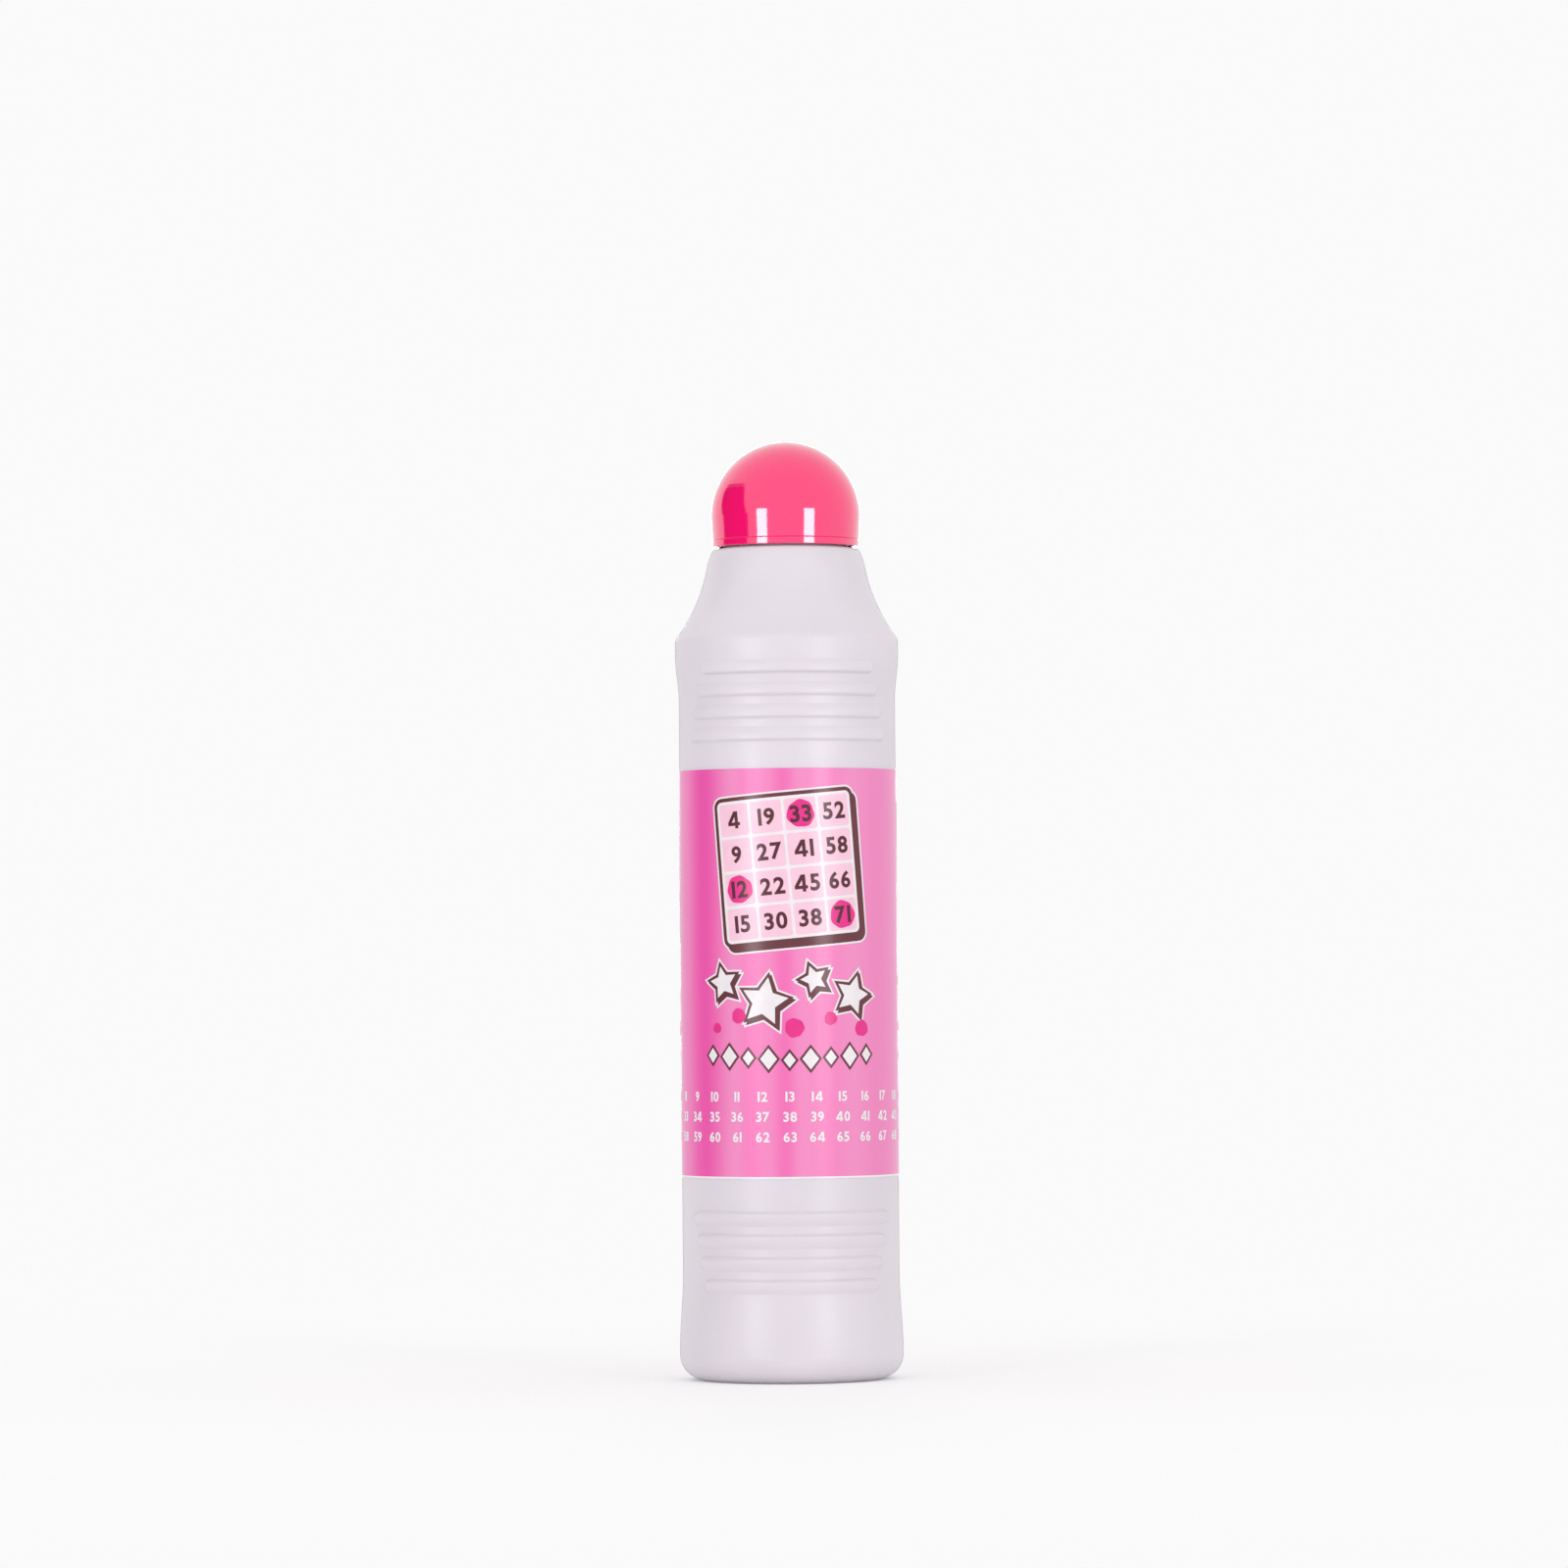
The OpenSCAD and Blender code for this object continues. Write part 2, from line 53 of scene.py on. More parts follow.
# The photograph's framing: the eye's height and the row that it looks level at, the
# column of the object's axis in the middle row, and how far the object leans to the left
IMAGE_PX = 1600
PIXEL = 0.197 * MM
EYE_DISTANCE = 1.4
EYE_Z = 81.3 * MM
LEVEL_ROW = 993
AXIS_COLUMN = 803.6
LEAN = math.radians(0.44)
SENSOR_MM = 36
CLIP = (0.1, 50)

# The soft boxes: distance, angles round the object, height, the height they aim at, size and
# power. Then the sky's light and the white that the camera and gloss see
BOX_DISTANCE = 1.6
BOX_ANGLES = (-37, 37, 180)
BOX_Z = 0.21
BOX_AIM_Z = 0.1
BOX_WIDTH = 0.46
BOX_HEIGHT = 0.36
BOX_POWER = 4.2
SKY_LIGHT = 0.85
WHITE = 0.956

# The floor: half its width, the light added near the object and the distances from which
# and to which it turns a plain white
FLOOR_REACH = 6
FLOOR_LIFT = 0.14
FLOOR_FADE = (0.06, 0.45)

# The dark card: its own faint light, its distance and height, and the angle round the object
# and rise of each corner
CARD_GLOW = 0.03
CARD_STEPS = 16
CARD_DISTANCE = 1.1
CARD_Z = 0.16
CARD_LOW_RIGHT = (-56, -8)
CARD_LOW_LEFT = (-107, -8)
CARD_TOP_RIGHT = (-78, 46)
CARD_TOP_LEFT = (-134, 28)


def radii(node):
    """The radius and height of each vertex of a node."""
    return [(math.hypot(v.co.x, v.co.y), v.co.z) for v in NODES[node].data.vertices]


# What the pieces take from the frame, and the cloth's thickness, threads and gathers, with the steps round
# the cover and the pad and down the head's waist
LABEL_LOW_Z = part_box("label")[0].z
LABEL_TOP_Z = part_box("label")[1].z
# The height of the pale strip along the label's lower edge, a painted highlight where the edge catches
# light
LABEL_EDGE_GLINT = 0.35 * MM
LABEL_R = max(r for r, z in radii("label"))
RING_IN_R = min(r for r, z in radii("tip_ring"))
RING_TOP_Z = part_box("tip_ring")[1].z
COVER_LOW, COVER_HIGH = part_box("tip_cover")
FOAM_LOW, FOAM_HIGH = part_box("foam_tip")
CUP_R = max(r for r, z in radii("foam_tip") if z < FOAM_LOW.z + 0.1 * MM)
HEAD_SIDE_Z = RING_TOP_Z + 0.8 * MM
COVER_T = 0.42 * MM
THREAD_PITCH = 0.3 * MM
GATHERS = 34
GATHER_DEPTH = 0.06 * MM
COVER_STEPS = 204
PAD_STEPS = 120
WAIST_STEPS = 6


# Materials


class Nodes:
    """A node tree, with short calls for its nodes and links."""

    def __init__(self, tree, shader):
        self.tree = tree
        self.shader = tree.nodes[shader]

    def add(self, kind, **values):
        """A node of that kind, with its properties and inputs set."""
        node = self.tree.nodes.new("ShaderNode" + kind)
        for key, value in values.items():
            name = key.replace("_", " ")
            if name in node.inputs:
                socket = next(i for i in node.inputs if i.name == name and i.enabled)
                socket.default_value = value
            else:
                setattr(node, key, value)
        return node

    def mix(self, factor, a, b, **values):
        """A mix of two outputs or constants; colours mix unless it is told otherwise."""
        node = self.add("Mix", **{"data_type": "RGBA", **values})
        for name, value in (("Factor", factor), ("A", a), ("B", b)):
            socket = next(i for i in node.inputs if i.name == name and i.enabled)
            if isinstance(value, bpy.types.NodeSocket):
                self.link(value, socket)
            else:
                socket.default_value = value
        return next(o for o in node.outputs if o.enabled)

    def link(self, output, target):
        """Joins an output to an input."""
        self.tree.links.new(output, target)

    def set(self, **values):
        """Constants on the shader's own sockets."""
        for key, value in values.items():
            self.shader.inputs[key.replace("_", " ")].default_value = value

    def feed(self, socket, output):
        """Links an output to a socket of the shader."""
        self.link(output, self.shader.inputs[socket])

    def maths(self, operation, *values):
        """The result of an operation on outputs and plain numbers."""
        node = self.add("Math", operation=operation)
        for socket, value in zip(node.inputs, values):
            if isinstance(value, (int, float)):
                socket.default_value = value
            else:
                self.link(value, socket)
        return node.outputs[0]

    def position(self, stretch=(1, 1, 1)):
        """The surface point in the object's own space, stretched."""
        source = self.add("TexCoord")
        mapping = self.add("Mapping", Scale=stretch)
        self.link(source.outputs["Object"], mapping.inputs["Vector"])
        return mapping.outputs["Vector"]

    def noise(self, scale, detail=2.0, stretch=(1, 1, 1)):
        """Noise of about 1/scale metres, from 0 to 1."""
        node = self.add("TexNoise", Scale=scale, Detail=detail)
        self.link(self.position(stretch), node.inputs["Vector"])
        return node.outputs["Fac"]

    def cells(self, scale, feature="F1"):
        """Distance from the middles of cells of about 1/scale metres."""
        node = self.add("TexVoronoi", Scale=scale, feature=feature)
        self.link(self.position(), node.inputs["Vector"])
        return node.outputs["Distance"]

    def ramp(self, factor, stops, interpolation="LINEAR"):
        """A colour ramp with (place, colour) stops."""
        node = self.add("ValToRGB")
        node.color_ramp.interpolation = interpolation
        elements = node.color_ramp.elements
        while len(elements) < len(stops):
            elements.new(0.5)
        for element, (place, colour) in zip(elements, stops):
            element.position = place
            element.color = (*colour, 1)
        self.link(factor, node.inputs["Fac"])
        return node.outputs["Color"]

    def span(self, factor, low, high, start=0, end=1, form="LINEAR"):
        """Maps start to end onto low to high."""
        node = self.add("MapRange", interpolation_type=form)
        ends = {"From Min": start, "From Max": end, "To Min": low, "To Max": high}
        for socket, value in ends.items():
            node.inputs[socket].default_value = value
        self.link(factor, node.inputs["Value"])
        return node.outputs["Result"]

    def around(self, vector):
        """The angle of a vector round the axis, in radians, 0 at the front and less on the left."""
        place = self.add("SeparateXYZ")
        self.link(vector, place.inputs["Vector"])
        front = self.maths("MULTIPLY", place.outputs["Y"], -1)
        return self.maths("ARCTAN2", place.outputs["X"], front)

    def seen(self):
        """1 for rays from the camera, reflections and what is seen through glass."""
        path = self.add("LightPath")
        first = self.maths("MAXIMUM", path.outputs["Is Camera Ray"], path.outputs["Is Glossy Ray"])
        return self.maths("MAXIMUM", first, path.outputs["Is Transmission Ray"])

    def bump(self, height, distance, normal=None):
        """A bump of that height in metres, on top of another normal."""
        node = self.add("Bump", Strength=1.0, Distance=distance)
        self.link(height, node.inputs["Height"])
        if normal is not None:
            self.link(normal, node.inputs["Normal"])
        return node.outputs["Normal"]

    def bevel(self, radius):
        """A normal that rounds sharp edges."""
        return self.add("Bevel", samples=6, Radius=radius).outputs["Normal"]


def material(name):
    """A new material and the nodes of its shader."""
    made = bpy.data.materials.new(name)
    made.use_nodes = True
    return made, Nodes(made.node_tree, "Principled BSDF")


def tone(red, green, blue):
    """A colour as it shows on a screen, 0 to 255, turned linear."""
    def linear(value):
        share = value / 255
        return share / 12.92 if share <= 0.04045 else ((share + 0.055) / 1.055) ** 2.4
    return linear(red), linear(green), linear(blue)


def darker(colour, share):
    """A share of a colour's light."""
    return tuple(share * value for value in colour)


def bottle_plastic():
    """Pale grey blown polyethylene with a faint pink tint of painted bounce light: satin, a little
    translucent, faintly wavy.
    """
    made, n = material("bottle_plastic")
    # The pink in this grey is painted bounce light; its mottle is random tone.
    mottle = [(0.3, tone(219, 211, 219)), (0.7, tone(225, 217, 225))]
    n.feed("Base Color", n.ramp(n.noise(38, 3), mottle))
    n.feed("Roughness", n.span(n.noise(160, 4), 0.32, 0.42))
    n.set(Subsurface_Weight=0.1, Subsurface_Scale=0.003, Subsurface_Radius=(1.0, 0.85, 0.9))
    waves = n.bump(n.noise(45, 1.5, (1, 1, 0.35)), 0.2 * MM, n.bevel(0.6 * MM))
    n.feed("Normal", n.bump(n.noise(900, 3), 0.008 * MM, waves))
    return made


def label_film():
    """Glossy pink printed film, with soft vertical streaks of painted reflection round it."""
    made, n = material("label_film")
    # The three pinks and the ramp below paint reflections: lighter vertical bands where soft boxes would
    # mirror in the film, deeper ones where darker surroundings would, fixed by the angle round the axis.
    deep, plain, light = tone(236, 80, 170), tone(237, 122, 184), tone(239, 150, 198)
    share = n.span(n.around(n.position()), 0, 1, -math.pi, math.pi)
    streaks = n.ramp(share, [
        (0.0, plain), (0.08, light), (0.15, deep), (0.2, plain), (0.315, plain), (0.34, deep),
        (0.37, deep), (0.395, plain), (0.42, light), (0.445, deep), (0.47, light), (0.493, deep),
        (0.515, light), (0.545, plain), (0.565, plain), (0.6, light), (0.65, plain), (0.76, light),
        (0.84, deep), (0.9, plain), (1.0, plain),
    ], "B_SPLINE")
    place = n.add("SeparateXYZ")
    n.link(n.position(), place.inputs["Vector"])
    # Below that height the film is painted a pale pink-white strip, a painted highlight along the lower
    # edge.
    above_edge_glint = n.maths("GREATER_THAN", place.outputs["Z"], LABEL_LOW_Z + LABEL_EDGE_GLINT)
    n.feed("Base Color", n.mix(above_edge_glint, (*tone(240, 236, 239), 1), streaks))
    n.feed("Roughness", n.span(n.noise(120, 3), 0.27, 0.29))
    n.set(Specular_IOR_Level=0.36, Coat_Weight=0.08, Coat_Roughness=0.14)
    ripple = n.bump(n.noise(60, 1, (1, 1, 0.25)), 0.1 * MM)
    n.feed("Normal", n.bump(n.noise(1400), 0.004 * MM, ripple))
    return made


def cap_plastic():
    """Hot pink injection-moulded cap with faint flow marks in its gloss."""
    made, n = material("cap_plastic")
    flow = n.noise(55, 3, (1, 1, 0.4))
    n.feed("Base Color", n.ramp(flow, [(0.3, tone(246, 2, 104)), (0.7, tone(250, 8, 111))]))
    n.feed("Roughness", n.span(n.noise(240, 4), 0.08, 0.12))
    n.set(Coat_Weight=1.0, Coat_Roughness=0.04, Coat_IOR=1.6, Specular_IOR_Level=0.6)
    waves = n.bump(flow, 0.05 * MM, n.bevel(0.15 * MM))
    n.feed("Normal", n.bump(n.noise(1600), 0.003 * MM, waves))
    return made


def natural_plastic(name, colour, roughness, radius):
    """Milky moulded plastic of the inner parts."""
    made, n = material(name)
    n.feed("Base Color", n.ramp(n.noise(220, 3), [(0.3, darker(colour, 0.9)), (0.7, colour)]))
    n.feed("Roughness", n.span(n.noise(700, 3), roughness - 0.05, roughness + 0.05))
    n.set(Subsurface_Weight=0.2, Subsurface_Scale=0.002)
    n.feed("Normal", n.bump(n.noise(1500), 0.006 * MM, n.bevel(radius)))
    return made


def spring_steel():
    """Drawn wire with fine streaks along it."""
    made, n = material("spring_steel")
    streaks = n.noise(900, 4, (1, 1, 6))
    n.feed("Base Color", n.ramp(streaks, [(0.3, (0.42, 0.43, 0.45)), (0.7, (0.68, 0.69, 0.7))]))
    n.feed("Roughness", n.span(streaks, 0.2, 0.36))
    n.set(Metallic=1.0)
    n.feed("Normal", n.bump(streaks, 0.006 * MM))
    return made


def washer_rubber():
    """Dark moulded rubber."""
    made, n = material("washer_rubber")
    mottle = [(0.3, (0.02, 0.02, 0.022)), (0.8, (0.05, 0.05, 0.052))]
    n.feed("Base Color", n.ramp(n.noise(500, 4), mottle))
    n.feed("Roughness", n.span(n.noise(900, 3), 0.55, 0.7))
    n.feed("Normal", n.bump(n.noise(2200, 3), 0.01 * MM, n.bevel(0.12 * MM)))
    return made


def liner_foam():
    """Fine white foamed polyethylene."""
    made, n = material("liner_foam")
    skin = n.cells(3200)
    n.feed("Base Color", n.ramp(skin, [(0.1, (0.72, 0.71, 0.69)), (0.6, (0.86, 0.85, 0.83))]))
    n.set(Roughness=0.7)
    n.feed("Normal", n.bump(skin, 0.04 * MM))
    return made


def tip_foam():
    """Open-celled foam, dyed by the ink."""
    made, n = material("tip_foam")
    skin = n.cells(2100, "SMOOTH_F1")
    n.feed("Base Color", n.ramp(skin, [(0.1, (0.9, 0.2, 0.42)), (0.7, (0.6, 0.05, 0.22))]))
    n.set(Roughness=0.85, Subsurface_Weight=0.1, Subsurface_Scale=0.001)
    n.feed("Normal", n.bump(skin, 0.12 * MM))
    return made


def cover_fabric():
    """Woven pink cloth, with its threads laid over the dome."""
    made, n = material("cover_fabric")
    place = n.add("SeparateXYZ")
    n.link(n.add("UVMap").outputs["UV"], place.inputs["Vector"])
    rows = [n.maths("SINE", place.outputs[axis]) for axis in ("X", "Y")]
    weave = n.span(n.maths("MULTIPLY", *rows), 0, 1, -1, 1)
    dye = n.ramp(n.noise(300, 3), [(0.3, tone(248, 84, 160)), (0.7, tone(254, 140, 192))])
    threads = n.ramp(weave, [(0.1, (0.74, 0.7, 0.72)), (0.9, (1.0, 1.0, 1.0))])
    n.feed("Base Color", n.mix(1.0, dye, threads, blend_type="MULTIPLY"))
    n.set(Roughness=0.8, Sheen_Weight=0.15, Sheen_Roughness=0.4)
    fuzz = n.bump(n.noise(5000, 3), 0.02 * MM)
    n.feed("Normal", n.bump(weave, 0.07 * MM, fuzz))
    return made


def ink(name, colour):
    """Printing ink, with the slight unevenness of its film."""
    made, n = material(name)
    n.feed("Base Color", n.ramp(n.noise(420, 4), [(0.3, darker(colour, 0.93)), (0.7, colour)]))
    n.feed("Roughness", n.span(n.noise(120, 3), 0.27, 0.29))
    n.set(Specular_IOR_Level=0.36, Coat_Weight=0.08, Coat_Roughness=0.14)
    n.feed("Normal", n.bump(n.noise(1400), 0.004 * MM))
    return made


def studio_white():
    """Pale paint that takes the shadow near the object and is a plain white further off."""
    made, n = material("studio_white")
    n.set(Base_Color=(0.9, 0.9, 0.9, 1), Roughness=0.9, Specular_IOR_Level=0.0)
    away = n.add("VectorMath", operation="LENGTH")
    n.link(n.position(), away.inputs[0])
    fade = n.span(away.outputs["Value"], 0, 1, *FLOOR_FADE, "SMOOTHSTEP")
    lift = n.add("Emission", Color=(1, 1, 1, 1), Strength=FLOOR_LIFT)
    plain = n.add("Emission", Color=(1, 1, 1, 1), Strength=WHITE)
    near = n.add("AddShader")
    n.link(n.shader.outputs["BSDF"], near.inputs[0])
    n.link(lift.outputs[0], near.inputs[1])
    look = n.add("MixShader")
    n.link(fade, look.inputs["Fac"])
    n.link(near.outputs[0], look.inputs[1])
    n.link(plain.outputs[0], look.inputs[2])
    mix = n.add("MixShader")
    n.link(n.seen(), mix.inputs["Fac"])
    n.link(n.shader.outputs["BSDF"], mix.inputs[1])
    n.link(look.outputs[0], mix.inputs[2])
    n.link(mix.outputs[0], n.tree.nodes["Material Output"].inputs["Surface"])
    return made


def card_black():
    """Dark cloth that thins out towards the card's edges."""
    made, n = material("card_black")
    place = n.add("SeparateXYZ")
    n.link(n.add("UVMap").outputs["UV"], place.inputs["Vector"])
    across = n.maths("MULTIPLY", n.maths("ABSOLUTE", n.maths("SUBTRACT", place.outputs["X"], 0.5)), 2)
    off = n.maths("ADD", n.maths("POWER", across, 5), n.maths("POWER", place.outputs["Y"], 5))
    clear = n.span(off, 0, 1, 0.5, 1, "SMOOTHSTEP")
    dark = n.add("Emission", Color=(1, 1, 1, 1), Strength=CARD_GLOW)
    look = n.add("MixShader")
    n.link(clear, look.inputs["Fac"])
    n.link(dark.outputs[0], look.inputs[1])
    n.link(n.add("BsdfTransparent").outputs[0], look.inputs[2])
    n.link(look.outputs[0], n.tree.nodes["Material Output"].inputs["Surface"])
    return made


def dress(node, finish):
    """Gives a CAD node its finish."""
    slots = NODES[node].material_slots
    for slot in slots:
        slot.material = finish
    if not slots:
        NODES[node].data.materials.append(finish)


def piece(name, mesh, finish, body):
    """A new piece that rides on a body."""
    obj = bpy.data.objects.new(name, mesh)
    bpy.context.scene.collection.objects.link(obj)
    mesh.materials.clear()
    mesh.materials.append(finish)
    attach(obj, body)
    return obj


def mesh_of(form, name):
    """Turns a bmesh into a mesh."""
    mesh = bpy.data.meshes.new(name)
    form.to_mesh(mesh)
    form.free()
    return mesh


# The print on the label: flat shapes, in metres along and up the label, wrapped round it

# The thickness of each ink, the inks from the lowest up, how far they stand off the film, the
# width of the strips that bend round, the white line round the outlined shapes and the steps
# of a round corner
LAYER = 0.012 * MM
LAYERS = ("halo_cast", "halo", "shadow", "edge", "white", "rose", "dabs", "numbers")
LIFT = 0.001 * MM
WRAP_STEP = 0.75 * MM
HALO = 0.38 * MM
CORNER_STEPS = 6

# How far below the label's top the designs stand
TICKET_DROP = 19.6 * MM
STARS_DROP = 45 * MM
GARLAND_DROP = 57.8 * MM
ROWS_DROP = 65 * MM

# The ticket: its tilt in degrees, its cells with their gaps and corners, its edge, corners and
# the cast of its shadow, its dabs and the height of its numbers
TICKET_TURN = 5
CELL = 6.3 * MM
CELL_GAP = 0.6 * MM
CELL_CORNER = 0.5 * MM
TICKET_RIM = 0.75 * MM
TICKET_CORNER = 1.1 * MM
TICKET_CAST = (0.9 * MM, -1.0 * MM)
TICKET_DAB_R = 2.75 * MM
TICKET_NUMBER = 3.4 * MM

# The stars as (x, z, radius, turn) and the dabs round them as (x, z, radius), all in mm
STAR_RIM = 0.6 * MM
STAR_CAST = (0.45 * MM, -0.5 * MM)
STARS = ((-14, 2.6, 3.3, 12), (-5, -1.2, 4.9, -10), (5, 3.2, 2.8, 20), (13.4, 0, 4.0, -16))
DABS = ((-10.4, -4, 1.5), (1, -6.4, 1.9), (8.4, -4.6, 1.3), (-15.6, -6.4, 1.0), (15.6, -6.6, 1.6))

# The row of diamonds: their pitch, edge, small and large size, and the rise towards each end
DIAMOND_PITCH = 4.2 * MM
DIAMOND_RIM = 0.45 * MM
DIAMOND_SIZES = (1.2 * MM, 1.7 * MM)
DIAMOND_RISE = 0.25 * MM

# The rows of numbers: how many, how many in each, their pitch and height
ROWS = 3
IN_ROW = 25
ROW_PITCH = 4 * MM
ROW_NUMBER = 2.0 * MM

# Each place round the label: its middle, the spread of its stars, the diamonds on each side of
# the middle one, the ticket's numbers and the cells that are dabbed
SIDE_SHIFT = 49 * MM
PLACES = (
    (0, 1, 4, ((4, 19, 33, 52), (9, 27, 41, 58), (12, 22, 45, 66), (15, 30, 38, 71)),
     ((0, 2), (2, 0), (3, 3))),
    (SIDE_SHIFT, 0.88, 3, ((2, 17, 36, 49), (7, 21, 44, 60), (11, 25, 31, 63), (14, 28, 40, 74)),
     ((1, 1), (3, 2))),
    (-SIDE_SHIFT, 0.88, 3, ((5, 16, 34, 47), (8, 20, 42, 55), (10, 23, 39, 61), (13, 29, 43, 72)),
     ((0, 3), (2, 1))),
)


def moved(points, at, turn=0):
    """Points turned by an angle in degrees, then moved."""
    c, s = math.cos(math.radians(turn)), math.sin(math.radians(turn))
    return [(at[0] + x * c - y * s, at[1] + x * s + y * c) for x, y in points]


def grown(points, by):
    """An outline that turns anticlockwise, moved out by a distance, with its sharp tips cut short."""
    out = []
    for i, (x, y) in enumerate(points):
        before, after = points[i - 1], points[(i + 1) % len(points)]
        a = Vector((y - before[1], before[0] - x)).normalized()
        b = Vector((after[1] - y, x - after[0])).normalized()
        both = (a + b).normalized()
        reach = by / max(both.dot(a), 0.55)
        out.append((x + reach * both.x, y + reach * both.y))
    return out


def rounded_box(width, height, radius):
    """Outline of a box with round corners."""
    points = []
    for corner, (sx, sy) in enumerate(((1, 1), (-1, 1), (-1, -1), (1, -1))):
        for i in range(CORNER_STEPS + 1):
            angle = math.pi / 2 * (corner + i / CORNER_STEPS)
            points.append((sx * (width / 2 - radius) + radius * math.cos(angle),
                           sy * (height / 2 - radius) + radius * math.sin(angle)))
    return points


def star(radius, inner_share=0.5, tips=5):
    """Outline of a star with a tip at its top."""
    points = []
    for i in range(2 * tips):
        reach = radius * (inner_share if i % 2 else 1)
        angle = math.pi / 2 + math.pi * i / tips
        points.append((reach * math.cos(angle), reach * math.sin(angle)))
    return points


def diamond(size):
    """Outline of an upright diamond."""
    return [(size, 0), (0, 1.25 * size), (-size, 0), (0, -1.25 * size)]


def dab(radius, seed, steps=40):
    """Outline of a dab of ink, a little out of round."""
    points = []
    for i in range(steps):
        angle = 2 * math.pi * i / steps
        edge = 1 + 0.035 * math.sin(3 * angle + seed) + 0.025 * math.sin(7 * angle + 2.3 * seed)
        points.append((radius * edge * math.cos(angle), radius * edge * math.sin(angle)))
    return points


def glyph(numeral):
    """Points and faces of a bold numeral of height 1, with its left edge at 0."""
    if numeral == "4":
        stem, bar, left = (0.47, 0.67), (0.17, 0.36), 0.02
        points = [(stem[0], 0), (stem[1], 0), (stem[1], bar[0]), (stem[1] + 0.12, bar[0]),
                  (stem[1] + 0.12, bar[1]), (stem[1], bar[1]), (stem[1], 1), (0.42, 1), (left, bar[1]),
                  (left, bar[0]), (stem[0], bar[0]), (stem[0], bar[1]), (0.25, bar[1]), (stem[0], 0.68)]
        faces = [(0, 1, 2, 10), (10, 2, 5, 11), (2, 3, 4, 5), (9, 10, 11, 12, 8),
                 (8, 12, 13, 7), (13, 11, 5, 6, 7)]
        return points, faces
    curve = bpy.data.curves.new("numeral", "FONT")
    curve.body = numeral
    curve.offset = 0.03
    curve.resolution_u = 4
    text = bpy.data.objects.new("numeral", curve)
    bpy.context.scene.collection.objects.link(text)
    bpy.context.view_layer.update()
    mesh = bpy.data.meshes.new_from_object(text.evaluated_get(bpy.context.evaluated_depsgraph_get()))
    bpy.data.objects.remove(text)
    bpy.data.curves.remove(curve)
    left = min(v.co.x for v in mesh.vertices)
    low = min(v.co.y for v in mesh.vertices)
    height = max(v.co.y for v in mesh.vertices) - low
    points = [((v.co.x - left) / height, (v.co.y - low) / height) for v in mesh.vertices]
    faces = [tuple(p.vertices) for p in mesh.polygons]
    bpy.data.meshes.remove(mesh)
    return points, faces


def in_order(items, place):
    """Sorts vertices or faces by where they are, so that each run numbers them alike."""
    ranks = {item: rank for rank, item in enumerate(sorted(items, key=lambda item: tuple(place(item))))}
    items.sort(key=ranks.get)


class Print:
    """Flat shapes of one ink on one layer."""

    glyphs = {numeral: glyph(numeral) for numeral in "0123456789"}

    def __init__(self, level):
        self.level = level
        self.form = bmesh.new()

    def shape(self, points, at=(0, 0), turn=0):
        """A closed outline, turned and put in its place."""
        self.form.faces.new([self.form.verts.new((x, y, 0)) for x, y in moved(points, at, turn)])

    def number(self, value, height, at=(0, 0), turn=0, gap=0.14):
        """A number of that height, centred on a place."""
        placed = []
        reach = -gap
        for numeral in str(value):
            points, faces = self.glyphs[numeral]
            placed.append((reach + gap, points, faces))
            reach += gap + max(x for x, y in points)
        for start, points, faces in placed:
            flat = [((start + x - reach / 2) * height, (y - 0.5) * height) for x, y in points]
            verts = [self.form.verts.new((x, y, 0)) for x, y in moved(flat, at, turn)]
            for face in faces:
                self.form.faces.new([verts[i] for i in face])

    def wrap(self, name, finish):
        """Cuts the shapes into narrow strips, gives them the ink's thickness and wraps them round."""
        form = self.form
        bmesh.ops.triangulate(form, faces=form.faces[:])
        low = min(v.co.x for v in form.verts)
        high = max(v.co.x for v in form.verts)
        for i in range(math.ceil(low / WRAP_STEP), math.floor(high / WRAP_STEP) + 1):
            whole = form.verts[:] + form.edges[:] + form.faces[:]
            cut = (i * WRAP_STEP, 0, 0)
            bmesh.ops.bisect_plane(form, geom=whole, dist=1e-7, plane_co=cut, plane_no=(1, 0, 0))
        raised = bmesh.ops.extrude_face_region(form, geom=form.faces[:])["geom"]
        for item in raised:
            if isinstance(item, bmesh.types.BMVert):
                item.co.z = LAYER * self.level
        bmesh.ops.recalc_face_normals(form, faces=form.faces[:])
        in_order(form.verts, lambda vert: vert.co)
        in_order(form.faces, lambda face: face.calc_center_median())
        for vert in form.verts:
            angle = vert.co.x / LABEL_R
            radius = LABEL_R + LIFT + vert.co.z
            vert.co = Vector((radius * math.sin(angle), -radius * math.cos(angle), vert.co.y))
        piece(name, mesh_of(form, name), finish, "bottle")


def outlined(inks, outline, rim, at, turn, cast=(0, 0)):
    """A white shape with a dark edge, cast a little to one side, and a thin white line round it all."""
    there = (at[0] + cast[0], at[1] + cast[1])
    inks["halo_cast"].shape(grown(outline, rim + HALO), there, turn)
    inks["halo"].shape(grown(outline, rim + HALO), at, turn)
    inks["shadow"].shape(grown(outline, rim), there, turn)
    inks["edge"].shape(grown(outline, rim), at, turn)
    inks["white"].shape(outline, at, turn)


